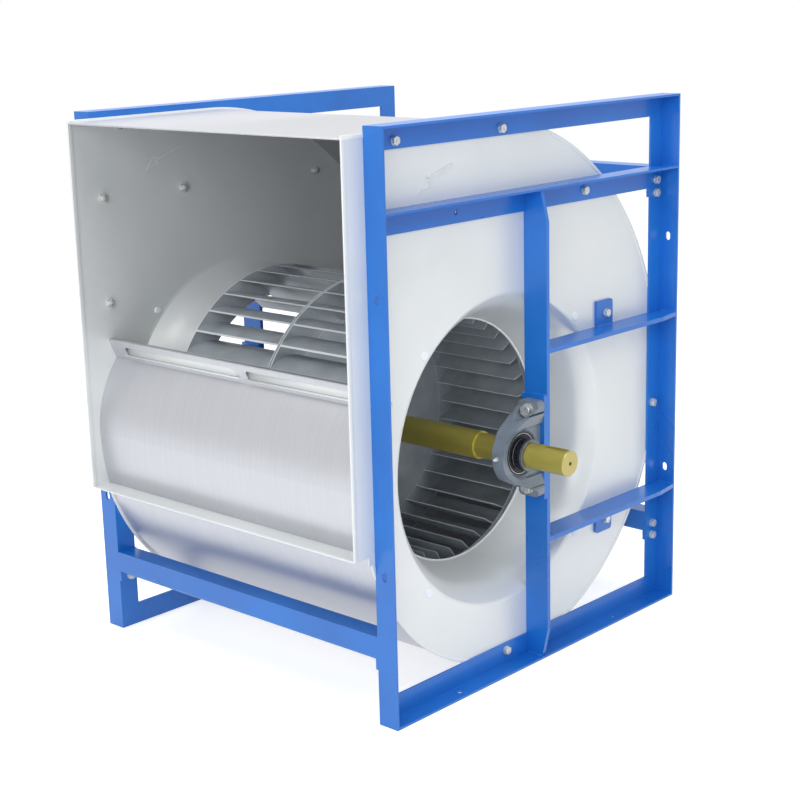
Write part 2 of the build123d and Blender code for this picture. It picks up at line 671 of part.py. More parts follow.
with BuildPart() as blade:
    chord_start = Vector(BLADE_INNER_R, 0).rotate(Axis.Z, BLADE_PHASE)
    tangent = Vector(1, 0).rotate(Axis.Z, BLADE_PHASE + BLADE_ENTRY)
    outward = tangent.rotate(Axis.Z, -90)
    with BuildSketch(across(BLADE_ROOT_X)):
        with BuildLine():
            inner_face = JernArc(chord_start, tangent, BLADE_ARC_R, BLADE_SWEEP)
            outer_face = JernArc(
                chord_start + outward * BLADE_THICK, tangent, BLADE_ARC_R + BLADE_THICK, BLADE_SWEEP
            )
            Line(inner_face @ 0, outer_face @ 0)
            Line(inner_face @ 1, outer_face @ 1)
        make_face()
    extrude(amount=RING_OUTER_X)
    with BuildSketch(AXIAL):
        outline(
            (BLADE_ROOT_X, BLADE_INNER_R - BLADE_THICK),
            (BLADE_CORNER_X, BLADE_INNER_R - BLADE_THICK),
            (RING_INNER_X, RING_INNER_R),
            (RING_OUTER_X, WHEEL_R),
            (BLADE_ROOT_X, WHEEL_R),
        )
    revolve(axis=SHAFT_LINE, mode=Mode.INTERSECT)

BLADE_PITCH = 360 / BLADE_COUNT
with BuildPart() as blades:
    add([blade.part.rotate(SHAFT_LINE, index * BLADE_PITCH) for index in range(BLADE_COUNT)])
keep_both(blades, "blades")

# Hub: a barrel with a flange in the middle, keyed to the shaft
with BuildPart() as hub:
    with BuildSketch(AXIAL):
        outline(
            (-HUB_HALF_LENGTH, SHAFT_MID_R),
            (-HUB_HALF_LENGTH, HUB_R),
            (-HUB_FLANGE_HALF, HUB_R),
            (-HUB_FLANGE_HALF, HUB_FLANGE_R),
            (HUB_FLANGE_HALF, HUB_FLANGE_R),
            (HUB_FLANGE_HALF, HUB_R),
            (HUB_HALF_LENGTH, HUB_R),
            (HUB_HALF_LENGTH, SHAFT_MID_R),
        )
    revolve(axis=SHAFT_LINE)
    chamfer(edges().group_by(Axis.X)[0] + edges().group_by(Axis.X)[-1], HUB_CHAMFER)
    with BuildSketch(across(-HUB_FLANGE_HALF)):
        with PolarLocations(HUB_BOLT_R, HUB_BOLT_COUNT):
            Circle(M10["r"])
    extrude(amount=2 * HUB_FLANGE_HALF, mode=Mode.SUBTRACT)
    with BuildSketch(across(-HUB_HALF_LENGTH)):
        key_top = SHAFT_MID_R - HUB_KEY_SEAT + HUB_KEY_HEIGHT + HUB_KEY_GAP
        Rectangle(HUB_KEY_WIDTH, key_top, align=(Align.CENTER, Align.MIN))
    extrude(amount=2 * HUB_HALF_LENGTH, mode=Mode.SUBTRACT)
keep(hub, "hub")

with BuildPart() as hub_key:
    with BuildSketch(Plane(origin=(0, AXIS_Y, AXIS_Z + SHAFT_MID_R - HUB_KEY_SEAT))):
        SlotOverall(HUB_KEY_LENGTH, HUB_KEY_WIDTH)
    extrude(amount=HUB_KEY_HEIGHT)
keep(hub_key, "hub_key")

HUB_BOLT_GRIP = 2 * (DISH_X + BACK_PLATE_THICK)
with BuildPart() as hub_bolts:
    hub_bolt_seats = [
        on_arc((AXIS_Y, AXIS_Z), HUB_BOLT_R, index * 360 / HUB_BOLT_COUNT) for index in range(HUB_BOLT_COUNT)
    ]
    add([
        hex_bolt(Plane(origin=(DISH_X + BACK_PLATE_THICK, y, z), z_dir=(1, 0, 0)), M10, HUB_BOLT_GRIP)
        for y, z in hub_bolt_seats
    ])
keep(hub_bolts, "hub_bolts")

# Shaft: thicker between the bearings' shoulders, keyed at the hub and at the drive end, with a
# shallow relief where the bearing's seat ends and the pulley's begins
RELIEF_X = BEARING_X + INNER_RING_LONG

with BuildPart() as shaft:
    with BuildSketch(AXIAL):
        outline(
            (SHAFT_FREE_END, 0),
            (SHAFT_FREE_END, SHAFT_R),
            (-SHAFT_SHOULDER_X, SHAFT_R),
            (-SHAFT_SHOULDER_X, SHAFT_MID_R),
            (SHAFT_SHOULDER_X, SHAFT_MID_R),
            (SHAFT_SHOULDER_X, SHAFT_R),
            (RELIEF_X, SHAFT_R),
            (RELIEF_X, SHAFT_R - RELIEF_DEPTH),
            (RELIEF_X + RELIEF_WIDTH, SHAFT_R - RELIEF_DEPTH),
            (RELIEF_X + RELIEF_WIDTH, SHAFT_R),
            (SHAFT_DRIVE_END, SHAFT_R),
            (SHAFT_DRIVE_END, 0),
        )
    revolve(axis=SHAFT_LINE)
    end_edges = edges().group_by(Axis.X)[0] + edges().group_by(Axis.X)[-1]
    chamfer(end_edges, SHAFT_CHAMFER)
    with BuildSketch(Plane(origin=(0, AXIS_Y, AXIS_Z + SHAFT_MID_R - HUB_KEY_SEAT))):
        SlotOverall(HUB_KEY_LENGTH, HUB_KEY_WIDTH)
    extrude(amount=HUB_KEY_HEIGHT, mode=Mode.SUBTRACT)
    keyway_x = SHAFT_DRIVE_END - DRIVE_KEYWAY_END_GAP - DRIVE_KEYWAY_LENGTH / 2
    with BuildSketch(Plane(origin=(keyway_x, AXIS_Y, AXIS_Z + SHAFT_R - DRIVE_KEYWAY_DEPTH))):
        SlotOverall(DRIVE_KEYWAY_LENGTH, DRIVE_KEYWAY_WIDTH)
    extrude(amount=2 * DRIVE_KEYWAY_DEPTH, mode=Mode.SUBTRACT)
    with BuildSketch(across(SHAFT_DRIVE_END)):
        Circle(CENTRE_HOLE_R)
    extrude(amount=-CENTRE_HOLE_DEPTH, mode=Mode.SUBTRACT)
keep(shaft, "shaft")


# Bearings. The block's own frame: X along its foot, Y away from the pad, Z out along the shaft.
def block_plane(x):
    return Plane(origin=(x, AXIS_Y, AXIS_Z), x_dir=(0, 0, 1), z_dir=(1, 0, 0))


FOOT_Y = -BLOCK_CENTRE_HEIGHT
FOOT_TOP = FOOT_Y + BLOCK_FOOT_THICK
FOOT_HALF = BLOCK_LENGTH / 2
# where a line from the top of the foot touches the round body
ARM_ANGLE = degrees(atan2(FOOT_TOP, BLOCK_ARM_REACH) + acos(BLOCK_BODY_R / hypot(FOOT_TOP, BLOCK_ARM_REACH)))
ARM_ROOT = on_arc((0, 0), BLOCK_BODY_R, ARM_ANGLE)
NIPPLE = Plane(origin=(BEARING_X, AXIS_Y, AXIS_Z), z_dir=(0, -1, 0))

with BuildPart() as bearing_housing:
    # outline seen along the shaft, kept where the outline seen square to the foot covers it
    with BuildSketch(block_plane(BEARING_X - BLOCK_FOOT_WIDTH / 2)):
        Circle(BLOCK_BODY_R)
        outline(
            (-FOOT_HALF, FOOT_Y),
            (-FOOT_HALF, FOOT_TOP),
            (-BLOCK_ARM_REACH, FOOT_TOP),
            (-ARM_ROOT[0], ARM_ROOT[1]),
            ARM_ROOT,
            (BLOCK_ARM_REACH, FOOT_TOP),
            (FOOT_HALF, FOOT_TOP),
            (FOOT_HALF, FOOT_Y),
        )
    extrude(amount=BLOCK_FOOT_WIDTH)
    with BuildSketch(Plane(origin=(BEARING_X, PAD_Y, AXIS_Z), x_dir=(0, 0, 1), z_dir=(0, -1, 0))):
        with Locations((-(BLOCK_FLARE + FOOT_HALF) / 2, 0), ((BLOCK_FLARE + FOOT_HALF) / 2, 0)):
            Rectangle(FOOT_HALF - BLOCK_FLARE, BLOCK_FOOT_WIDTH)
        fillet(vertices().group_by(Axis.Z)[0] + vertices().group_by(Axis.Z)[-1], BLOCK_FOOT_CORNER_R)
        outline(
            (-BLOCK_FLARE, -BLOCK_FOOT_WIDTH / 2),
            (-BLOCK_FLARE, BLOCK_FOOT_WIDTH / 2),
            (-BLOCK_NECK, BLOCK_BODY_WIDTH / 2),
            (BLOCK_NECK, BLOCK_BODY_WIDTH / 2),
            (BLOCK_FLARE, BLOCK_FOOT_WIDTH / 2),
            (BLOCK_FLARE, -BLOCK_FOOT_WIDTH / 2),
            (BLOCK_NECK, -BLOCK_BODY_WIDTH / 2),
            (-BLOCK_NECK, -BLOCK_BODY_WIDTH / 2),
        )
    extrude(amount=BLOCK_CENTRE_HEIGHT + BLOCK_BODY_R, mode=Mode.INTERSECT)
    for pocket_x in (BEARING_X - BLOCK_FOOT_WIDTH / 2, BEARING_X + BLOCK_BODY_WIDTH / 2):
        with BuildSketch(block_plane(pocket_x)):
            with Locations((0, BLOCK_POCKET_TOP)):
                Rectangle(2 * BLOCK_POCKET, BLOCK_POCKET_TOP - FOOT_Y, align=(Align.CENTER, Align.MAX))
        extrude(amount=(BLOCK_FOOT_WIDTH - BLOCK_BODY_WIDTH) / 2, mode=Mode.SUBTRACT)
    with BuildSketch(Plane.XZ.offset(BLOCK_FOOT_THICK - PAD_Y)):
        with Locations((BEARING_X, AXIS_Z)):
            with GridLocations(0, BLOCK_BOLT_SPACING, 1, 2):
                Circle(BLOCK_SPOT_FACE_R)
    extrude(amount=BLOCK_CENTRE_HEIGHT, mode=Mode.SUBTRACT)
    with BuildSketch(NIPPLE.offset(BLOCK_BODY_R - NIPPLE_BOSS_ROOT)):
        Circle(NIPPLE_BOSS_R)
    extrude(amount=NIPPLE_BOSS_RISE + NIPPLE_BOSS_ROOT)
    with BuildSketch(NIPPLE.offset(NIPPLE_SEAT)):
        Circle(NIPPLE_STEM_R)
    extrude(amount=-NIPPLE_STEM, mode=Mode.SUBTRACT)
    with BuildSketch(AXIAL):
        mouth_half = BLOCK_BODY_WIDTH / 2 - BLOCK_MOUTH_CHAMFER
        flare_half = BLOCK_FOOT_WIDTH / 2
        with Locations((BEARING_X, 0)):
            Circle(SEAT_R)
            Rectangle(BLOCK_FOOT_WIDTH, 2 * BLOCK_MOUTH_R)
            outline(
                (-flare_half, 0),
                (-flare_half, BLOCK_MOUTH_R + flare_half - mouth_half),
                (-mouth_half, BLOCK_MOUTH_R),
                (mouth_half, BLOCK_MOUTH_R),
                (flare_half, BLOCK_MOUTH_R + flare_half - mouth_half),
                (flare_half, 0),
            )
            Rectangle(2 * SEAT_R, 2 * SEAT_R, align=(Align.CENTER, Align.MIN), mode=Mode.INTERSECT)
    revolve(axis=SHAFT_LINE, mode=Mode.SUBTRACT)
    with BuildSketch(Plane.XZ.offset(-PAD_Y)):
        with Locations((BEARING_X, AXIS_Z)):
            with GridLocations(0, BLOCK_BOLT_SPACING, 1, 2):
                SlotOverall(BLOCK_SLOT_LENGTH, 2 * M16["r"] + BLOCK_SLOT_PLAY, rotation=90)
    extrude(amount=BLOCK_FOOT_THICK, mode=Mode.SUBTRACT)
keep_both(bearing_housing, "bearing_housing")


def axial_ring(inner_x, outer_x, inner_r, outer_r):
    # closed outline of a plain ring about the shaft, measured from the bearing's middle
    outline(
        (BEARING_X + inner_x, inner_r),
        (BEARING_X + inner_x, outer_r),
        (BEARING_X + outer_x, outer_r),
        (BEARING_X + outer_x, inner_r),
    )


with BuildPart() as bearing_outer_ring:
    with BuildSketch(AXIAL):
        axial_ring(-OUTER_RING_HALF, OUTER_RING_HALF, OUTER_RING_BORE_R, SEAT_R)
        with Locations((BEARING_X, 0)):
            Circle(SEAT_R, mode=Mode.INTERSECT)
        with Locations((BEARING_X, BALL_PITCH_R)):
            Circle(BALL_R + GROOVE_CLEARANCE, mode=Mode.SUBTRACT)
    revolve(axis=SHAFT_LINE)
keep_both(bearing_outer_ring, "bearing_outer_ring")

with BuildPart() as bearing_inner_ring:
    with BuildSketch(AXIAL):
        axial_ring(-INNER_RING_SHORT, INNER_RING_LONG, SHAFT_R, INNER_RING_R)
        with Locations((BEARING_X, BALL_PITCH_R)):
            Circle(BALL_R + GROOVE_CLEARANCE, mode=Mode.SUBTRACT)
    revolve(axis=SHAFT_LINE)
    chamfer(edges().group_by(Axis.X)[-1].sort_by(SortBy.RADIUS)[-1], INNER_RING_CHAMFER)
    for angle in SET_SCREW_ANGLES:
        with BuildSketch(Plane(SHAFT_SCREW_POINT, z_dir=Vector(0, 1, 0).rotate(Axis.X, angle))):
            Circle(SET_SCREW_R)
        extrude(amount=2 * INNER_RING_R, mode=Mode.SUBTRACT)
keep_both(bearing_inner_ring, "bearing_inner_ring")

with BuildPart() as set_screws:
    for angle in SET_SCREW_ANGLES:
        radial = Plane(SHAFT_SCREW_POINT, z_dir=Vector(0, 1, 0).rotate(Axis.X, angle))
        with BuildSketch(radial.offset(SHAFT_R)):
            Circle(SET_SCREW_R)
        extrude(amount=INNER_RING_R - SHAFT_R - SET_SCREW_SINK)
        with BuildSketch(radial.offset(INNER_RING_R - SET_SCREW_SINK)):
            RegularPolygon(SET_SCREW_R / 2, 6, major_radius=False)
        extrude(amount=-SET_SCREW_SOCKET, mode=Mode.SUBTRACT)
keep_both(set_screws, "set_screws")

BALL_SPOTS = [
    (BEARING_X, *on_arc((AXIS_Y, AXIS_Z), BALL_PITCH_R, index * 360 / BALL_COUNT))
    for index in range(BALL_COUNT)
]

with BuildPart() as bearing_balls:
    with Locations(*BALL_SPOTS):
        Sphere(BALL_R)
keep_both(bearing_balls, "bearing_balls")

with BuildPart() as bearing_cage:
    with BuildSketch(AXIAL):
        axial_ring(-CAGE_HALF, CAGE_HALF, CAGE_INNER_R, CAGE_OUTER_R)
    revolve(axis=SHAFT_LINE)
    with Locations(*BALL_SPOTS):
        Sphere(BALL_R + CAGE_POCKET_GAP, mode=Mode.SUBTRACT)
keep_both(bearing_cage, "bearing_cage")

with BuildPart() as bearing_seals:
    with BuildSketch(AXIAL):
        axial_ring(SEAL_X, SEAL_X + SEAL_THICK, INNER_RING_R + SEAL_GAP, OUTER_RING_BORE_R)
        axial_ring(-SEAL_X - SEAL_THICK, -SEAL_X, INNER_RING_R + SEAL_GAP, OUTER_RING_BORE_R)
    revolve(axis=SHAFT_LINE)
keep_both(bearing_seals, "bearing_seals")

with BuildPart() as grease_nipple:
    with BuildSketch(NIPPLE.offset(NIPPLE_SEAT - NIPPLE_STEM)):
        Circle(NIPPLE_STEM_R)
    extrude(amount=NIPPLE_STEM)
    with BuildSketch(NIPPLE.offset(NIPPLE_SEAT)):
        RegularPolygon(NIPPLE_HEX / 2, 6, major_radius=False)
    extrude(amount=NIPPLE_HEX_HEIGHT)
    with BuildSketch(NIPPLE.offset(NIPPLE_SEAT + NIPPLE_HEX_HEIGHT)):
        Circle(NIPPLE_STEM_R)
    extrude(amount=NIPPLE_NECK, taper=NIPPLE_TAPER)
    with Locations((BEARING_X, AXIS_Y - NIPPLE_SEAT - NIPPLE_HEX_HEIGHT - NIPPLE_NECK, AXIS_Z)):
        Sphere(NIPPLE_STEM_R)
keep_both(grease_nipple, "grease_nipple")

# Fasteners
BLOCK_GRIP = BLOCK_FOOT_THICK + PAD_THICK + STRUT_THICK
CASING_GRIP = ANGLE_THICK + SHEET
LUG_GRIP = LUG_THICK + SHEET
FRAME_GRIP = ANGLE_THICK + END_PLATE_THICK

with BuildPart() as bearing_bolts:
    for height in (AXIS_Z - BLOCK_BOLT_SPACING / 2, AXIS_Z + BLOCK_BOLT_SPACING / 2):
        seat = Plane(origin=(BEARING_X, PAD_Y - BLOCK_FOOT_THICK, height), z_dir=(0, -1, 0))
        add(hex_bolt(seat, M16, BLOCK_GRIP))
keep_both(bearing_bolts, "bearing_bolts")


def side_bolts(x, grip, places):
    # bolts with heads outward on the right-hand side
    return [hex_bolt(Plane(origin=(x, y, z), z_dir=(1, 0, 0)), M10, grip) for y, z in spots(places)]


with BuildPart() as frame_bolts:
    add(side_bolts(LEG_X, FRAME_GRIP, (*FRONT_CROSS_BOLTS, *REAR_CROSS_BOLTS)))
keep_both(frame_bolts, "frame_bolts")

with BuildPart() as right_casing_bolts:
    add(side_bolts(LEG_X, CASING_GRIP, RAIL_AND_POST_BOLTS))
    add(side_bolts(ROOT_X + LUG_THICK, LUG_GRIP, LUG_BOLTS))
keep(right_casing_bolts, "right_casing_bolts")

# on the left, away from the drive, the spare hole has its bolt too
with BuildPart() as left_casing_bolts:
    add(right_casing_bolts.part)
    add(side_bolts(LEG_X, CASING_GRIP, SPARE_HOLE))
    mirror(about=Plane.YZ, mode=Mode.REPLACE)
keep(left_casing_bolts, "left_casing_bolts")
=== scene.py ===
import json
from math import cos, radians, sin

import bmesh
import bpy
from mathutils import Matrix, Vector


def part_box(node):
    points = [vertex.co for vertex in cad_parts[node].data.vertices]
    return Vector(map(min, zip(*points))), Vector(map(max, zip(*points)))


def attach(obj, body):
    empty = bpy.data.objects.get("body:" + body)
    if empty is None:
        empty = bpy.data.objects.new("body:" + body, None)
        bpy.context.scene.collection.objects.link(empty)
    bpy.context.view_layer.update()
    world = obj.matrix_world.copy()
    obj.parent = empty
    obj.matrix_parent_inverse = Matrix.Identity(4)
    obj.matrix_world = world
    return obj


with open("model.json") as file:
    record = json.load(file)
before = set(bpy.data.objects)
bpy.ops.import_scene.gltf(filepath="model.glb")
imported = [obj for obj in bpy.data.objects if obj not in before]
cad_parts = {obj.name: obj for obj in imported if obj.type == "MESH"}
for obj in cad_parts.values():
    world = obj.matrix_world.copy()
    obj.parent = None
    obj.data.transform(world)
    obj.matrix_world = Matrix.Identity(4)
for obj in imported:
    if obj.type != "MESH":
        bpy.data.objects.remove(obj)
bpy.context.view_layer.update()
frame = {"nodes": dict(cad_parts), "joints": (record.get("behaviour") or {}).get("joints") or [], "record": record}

MM = 0.001
# two places nearer together than this are the same place
NEAR = 0.01 * MM
SHAFT = Vector(frame["joints"][0]["pos_m"])


# Colours are written as sRGB hex and turned to linear light here
def paint(hex_code):
    channels = [int(hex_code[i:i + 2], 16) / 255 for i in (1, 3, 5)]
    linear = [c / 12.92 if c <= 0.04045 else ((c + 0.055) / 1.055) ** 2.4 for c in channels]
    return (*linear, 1.0)


# Adds one node; a value that is a socket is linked, any other is set on the node's input
def node(material, kind, settings=None, **inputs):
    made = material.node_tree.nodes.new(kind)
    for key, value in (settings or {}).items():
        setattr(made, key, value)
    for key, value in inputs.items():
        name = key.replace("_", " ")
        plug = made.inputs[int(key[1:])] if key[1:].isdigit() else made.inputs[name]
        if isinstance(value, bpy.types.NodeSocket):
            material.node_tree.links.new(value, plug)
        else:
            plug.default_value = value
    return made.outputs


def new_material(name):
    material = bpy.data.materials.new(name)
    material.use_nodes = True
    return material, material.node_tree.nodes["Principled BSDF"]


# A surface whose tone drifts in soft patches between two colours, with a fine grain in relief.
# patch_mm and grain_mm are how wide one patch and one grain are; each can be drawn out along an axis.
# lines are narrow bands of another colour, most of them painted highlights: ("round", r, w, colour) lies r mm from
# the shaft's axis, and ("across", x, w, colour) x mm from the middle of the machine on both sides, each w mm to
# either side.
# rough is the roughness from the smoothest to the dullest patch, and depth_mm the height of the grain.
# Any other socket of the shader is given by its name, with one value all over.
def surface(
    name, dark, light, patch_mm, rough, grain_mm, depth_mm,
    patch_along=(1, 1, 1), grain_along=(1, 1, 1), contrast=0.2, lines=(), **sockets,
):
    material, shader = new_material(name)
    links = material.node_tree.links
    where = node(material, "ShaderNodeTexCoord")["Object"]
    patch_lie = node(material, "ShaderNodeMapping", Vector=where, Scale=patch_along)["Vector"]
    grain_lie = node(material, "ShaderNodeMapping", Vector=where, Scale=grain_along)["Vector"]
    patches = node(material, "ShaderNodeTexNoise", Vector=patch_lie, Scale=1000 / patch_mm, Detail=4.0)["Fac"]
    drift = node(
        material, "ShaderNodeMapRange", Value=patches, From_Min=0.5 - contrast, From_Max=0.5 + contrast
    )["Result"]
    tone = node(
        material, "ShaderNodeMix", {"data_type": "RGBA"}, i0=drift, i6=paint(dark), i7=paint(light)
    )[2]
    if lines:
        shift = node(
            material, "ShaderNodeMapping", Vector=where, Location=(0, -SHAFT.y, -SHAFT.z), Scale=(0, 1, 1)
        )["Vector"]
        radius = node(material, "ShaderNodeVectorMath", {"operation": "LENGTH"}, i0=shift)["Value"]
        width = node(material, "ShaderNodeSeparateXYZ", Vector=where)["X"]
        reach = node(material, "ShaderNodeMath", {"operation": "ABSOLUTE"}, i0=width)["Value"]
    # each band lays its colour over the tone; most bands are painted highlights
    for kind, place_mm, half_mm, colour in lines:
        measure = radius if kind == "round" else reach
        inside = node(
            material, "ShaderNodeMath", {"operation": "COMPARE"},
            i0=measure, i1=place_mm * MM, i2=half_mm * MM,
        )["Value"]
        tone = node(
            material, "ShaderNodeMix", {"data_type": "RGBA"}, i0=inside, i6=tone, i7=paint(colour)
        )[2]
    links.new(tone, shader.inputs["Base Color"])
    gloss = node(
        material, "ShaderNodeMapRange",
        Value=patches, From_Min=0.3, From_Max=0.7, To_Min=rough[0], To_Max=rough[1],
    )["Result"]
    links.new(gloss, shader.inputs["Roughness"])
    grain = node(material, "ShaderNodeTexNoise", Vector=grain_lie, Scale=1000 / grain_mm, Detail=2.0)["Fac"]
    relief = node(material, "ShaderNodeBump", Height=grain, Distance=depth_mm * MM, Strength=0.5)["Normal"]
    links.new(relief, shader.inputs["Normal"])
    for key, value in sockets.items():
        shader.inputs[key.replace("_", " ")].default_value = value
    return material


finishes = {
    # polyester powder coat, sprayed and baked: glossy blue with a fine orange peel
    "frame_paint": surface(
        "powder_coat_blue", "#176AC4", "#1F77D2", 180, (0.26, 0.36), 4.5, 0.04,
        Coat_Weight=0.12, Coat_Roughness=0.12,
    ),
    # hot-dip galvanised flat sheet, skin passed: pale and satin, with faint large clouds
    "casing_sheet": surface(
        "galvanised_plate", "#E0E4E3", "#E9EBEB", 240, (0.3, 0.4), 1.6, 0.015, Metallic=0.2,
    ),
    # galvanised strip, roll formed into blades: duller and darker than the casing, with painted
    # highlights as thin near-white rings along the blades' inner and outer edges
    "wheel_steel": surface(
        "galvanised_blade_strip", "#A6AEB4", "#BCC3C9", 60, (0.34, 0.46), 2.0, 0.02,
        lines=(("round", 260, 0.35, "#F2F6F8"), ("round", 338, 1.2, "#F2F6F8")), Metallic=0.25,
    ),
    # grey iron hub, turned all over and left bare: faint rings round the shaft
    "hub_iron": surface(
        "turned_grey_iron", "#66686B", "#7E8083", 30, (0.35, 0.5), 2.5, 0.02,
        grain_along=(1, 0.05, 0.05), Metallic=0.6,
    ),
    # turned carbon steel under a yellow-brown rust-proofing film that runs along it, thinner on the
    # end faces, with fine tool rings round it
    "shaft_steel": surface(
        "oiled_turned_steel", "#A3963C", "#CFC266", 40, (0.26, 0.36), 1.4, 0.003,
        patch_along=(0.15, 1, 1), grain_along=(1, 0.04, 0.04), contrast=0.4,
        lines=(("across", 593, 3.2, "#B5A868"),), Metallic=0.6,
    ),
    # grey iron, sand cast and sprayed with grey primer: a fine pebbled skin
    "bearing_iron": surface(
        "primed_sand_casting", "#6E7985", "#7E8995", 30, (0.3, 0.42), 1.8, 0.1,
        Coat_Weight=0.2, Coat_Roughness=0.25,
    ),
    # through-hardened bearing steel, ground and honed: bright, almost mirror-like
    "bright_steel": surface(
        "ground_bearing_steel", "#B9BABC", "#CFCFD0", 8, (0.14, 0.24), 1.0, 0.005, Metallic=1.0,
    ),
    # bright zinc plating on forged bolts: pale silver with a faint warm cast
    "zinc_steel": surface(
        "zinc_plated_steel", "#BFC4C3", "#DCDFDC", 12, (0.24, 0.34), 1.5, 0.002, Metallic=0.5,
    ),
    # blackened ring and set screws: dark blue-black with a slight oil sheen, a painted highlight along one
    # narrow band, and grey over a wider band at the collar's end
    "black_steel": surface(
        "black_oxide_steel", "#1E2126", "#2C3038", 10, (0.24, 0.36), 1.5, 0.01,
        lines=(("across", 467, 0.7, "#B4B8BE"), ("across", 488, 4, "#6A6E74")), Metallic=0.6,
    ),
    # nitrile rubber lip moulded on a steel washer: matt black
    "seal_rubber": surface(
        "moulded_nitrile_rubber", "#17181A", "#222427", 6, (0.55, 0.65), 1.2, 0.02,
    ),
    # glass-filled nylon, injection moulded: dull cream
    "cage_plastic": surface(
        "glass_filled_nylon", "#C4B48C", "#D2C49E", 6, (0.45, 0.55), 1.2, 0.02,
    ),
    # low-density polythene caps, moulded: soft white
    "plug_plastic": surface(
        "moulded_polythene", "#F0F6FE", "#F8FBFF", 8, (0.3, 0.4), 1.2, 0.01,
    ),
}
# outer rings of the bearings, phosphated dark, with painted highlights: a thin bright line next to the seal and a
# fainter one at the outer edge
phosphated_ring = surface(
    "phosphated_ring_steel", "#26292E", "#34383E", 10, (0.3, 0.4), 1.0, 0.005,
    lines=(("round", 43.4, 0.5, "#C8CCD0"), ("round", 48.4, 0.3, "#9EA3A9")), Metallic=0.6,
)
# galvanised coil sheet rolled round the volute: glossier, with fine lines along the coil; the lines
# are about 2 mm apart, coarser than real ones, which would be too fine to show
rolled_sheet = surface(
    "rolled_galvanised_sheet", "#BABBC0", "#C6C8CD", 2.2, (0.34, 0.42), 2.2, 0.008,
    patch_along=(1, 0.02, 0.02), grain_along=(1, 0.02, 0.02), contrast=0.35, Metallic=0.7, Anisotropic=0.4,
)
slot_of = {part["node"]: part["material_slot"] for part in frame["record"]["subparts"]}


def dress(piece, material):
    piece.data.materials.clear()
    piece.data.materials.append(material)


for name, piece in frame["nodes"].items():
    dress(piece, finishes[slot_of[name]])
for name in ("scroll_sheet", "tongue_nose"):
    dress(frame["nodes"][name], rolled_sheet)
for side in ("right", "left"):
    dress(frame["nodes"][f"{side}_bearing_outer_ring"], phosphated_ring)

# Places on the machine in metres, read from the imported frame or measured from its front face
PLATE_X, FRONT_Y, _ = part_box("right_front_post")[0]
TOE_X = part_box("right_front_post")[1].x
REAR_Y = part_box("right_rear_post")[1].y
OUTLET_Y, OUTLET_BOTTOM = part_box("outlet_lip")[0].yz
VOLUTE_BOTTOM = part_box("right_side_plate")[0].z
VOLUTE_REAR, VOLUTE_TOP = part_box("right_side_plate")[1].yz
ANGLE_THICK = 5 * MM
LEG_X = PLATE_X + ANGLE_THICK


def spot(back_mm, height_mm):
    # place in the YZ plane from a distance behind the frame's front face and a height
    return Vector((FRONT_Y + back_mm * MM, height_mm * MM))


# Modelling: a piece starts as one primitive in edit mode and is completed as an object of its own
def start(name, add, **place):
    bpy.ops.object.select_all(action="DESELECT")
    add(**place)
    piece = bpy.context.object
    piece.name = name
    bpy.ops.object.mode_set(mode="EDIT")
    bpy.ops.mesh.select_mode(type="VERT")
    return piece


def choose(piece, test):
    # in edit mode: selects only the corners whose place passes the test
    mesh = bmesh.from_edit_mesh(piece.data)
    for corner in mesh.verts:
        corner.select_set(False)
    mesh.select_flush(False)
    for corner in mesh.verts:
        if test(piece.matrix_world @ corner.co):
            corner.select_set(True)
    mesh.select_flush(True)
    bmesh.update_edit_mesh(piece.data)


def bevel_with(piece, width_mm, segments=2):
    edge = piece.modifiers.new("rounded_edges", "BEVEL")
    edge.width = width_mm * MM
    edge.segments = segments
    edge.limit_method = "ANGLE"


def complete(piece, material, body="frame", smooth=40):
    bpy.ops.mesh.select_all(action="SELECT")
    bpy.ops.mesh.remove_doubles(threshold=NEAR)
    bpy.ops.mesh.normals_make_consistent(inside=False)
    bpy.ops.object.mode_set(mode="OBJECT")
    for name in [modifier.name for modifier in piece.modifiers]:
        bpy.ops.object.modifier_apply(modifier=name)
    bpy.ops.object.transform_apply()
    bpy.ops.object.shade_smooth_by_angle(angle=radians(smooth))
    dress(piece, material)
    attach(piece, body)
    return piece


def mirror_to_left(piece):
    # the left-hand piece: a copy with its own mesh, mirrored across the middle of the machine
    bpy.ops.object.select_all(action="DESELECT")
    left = piece.copy()
    left.data = piece.data.copy()
    left.name = piece.name.replace("right", "left")
    bpy.context.scene.collection.objects.link(left)
    bpy.context.view_layer.objects.active = left
    left.select_set(True)
    left.scale.x = -1
    bpy.ops.object.transform_apply()
    bpy.ops.object.mode_set(mode="EDIT")
    bpy.ops.mesh.select_all(action="SELECT")
    bpy.ops.mesh.normals_make_consistent(inside=False)
    bpy.ops.object.mode_set(mode="OBJECT")
    return left


def both_sides(piece, body):
    left = mirror_to_left(piece)
    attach(left, body)


# Hems: the side plates' edges are folded over round the volute and down the outlet
HEM_WIDTH = 9 * MM
HEM_THICK = 3.2 * MM
HEM_OUT = 0.8 * MM
HEM_SINK = 0.5 * MM
OUTLET_HEM_DEPTH = 11 * MM
OUTLET_HEM_WIDTH = 3.4 * MM
# how far the hems stand over the sheets that they are folded from
SIDE_COVER = 0.3 * MM
END_COVER = 0.4 * MM
BAR_HEM_THICK = 3 * MM
# the roof of the outlet lies this far below the top of the side plates
ROOF_DROP = 5 * MM
LOW_CENTRE = spot(442, 489)
REAR_R = 545 * MM
REAR_CENTRE = Vector((LOW_CENTRE.x, VOLUTE_BOTTOM + REAR_R))
TOP_R = VOLUTE_TOP - REAR_CENTRE.y
TOP_CENTRE = Vector((VOLUTE_REAR - TOP_R, REAR_CENTRE.y))
LOW_SWEEP = 72.2


